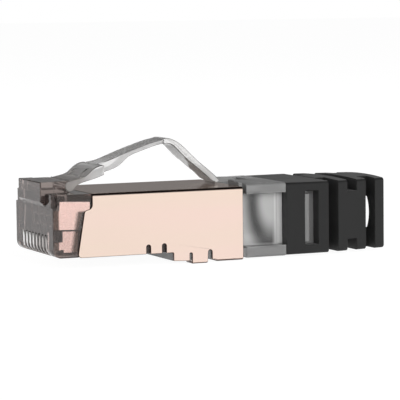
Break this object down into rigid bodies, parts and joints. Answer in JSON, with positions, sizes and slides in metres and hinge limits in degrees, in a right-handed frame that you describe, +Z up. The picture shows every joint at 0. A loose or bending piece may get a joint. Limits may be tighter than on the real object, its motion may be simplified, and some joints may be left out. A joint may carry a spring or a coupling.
{
  "type": "rj45 modular plug",
  "caption": "Shielded clear modular cable plug with arched latch lever, staggered wire guide, snap-in rear holder and segmented bend-relief boot.",
  "frame": {"origin": "middle of the part's bounding box, at its lowest point", "axes": "+X from the contact nose towards the cable end, +Z up through the latch, Y across"},
  "size_m": [0.0398, 0.0118, 0.0131],
  "materials": {
    "clear_plastic": "smoky clear polycarbonate",
    "shield_metal": "satin rose-gold plating",
    "contact_gold": "gold plated",
    "guide_plastic": "clear polycarbonate",
    "boot_rubber": "matte black moulded elastomer"
  },
  "bodies": {
    "plug": {"plug_housing": "clear_plastic", "shield": "shield_metal", "load_bar": "guide_plastic", "cable_holder": "clear_plastic", "boot": "boot_rubber", "contact_1": "contact_gold", "contact_2": "contact_gold", "contact_3": "contact_gold", "contact_4": "contact_gold", "contact_5": "contact_gold", "contact_6": "contact_gold", "contact_7": "contact_gold", "contact_8": "contact_gold"},
    "latch_front": {"latch_front_arm": "clear_plastic"},
    "latch_rear": {"latch_rear_arm": "clear_plastic"}
  },
  "joints": [
    {"name": "latch_press", "type": "hinge", "parent": "plug", "child": "latch_front", "pos_m": [-0.01638, 0, 0.00858], "axis": [0, 1, 0], "range_deg": [0, 15], "stiffness_Nm_per_rad": 0.05},
    {"name": "latch_flex", "type": "hinge", "parent": "latch_front", "child": "latch_rear", "pos_m": [-0.00493, 0, 0.01283], "axis": [0, 1, 0], "range_deg": [-42, 0]}
  ],
  "couplings": [
    {"joint": "latch_flex", "follows": "latch_press", "ratio": -2.75}
  ]
}
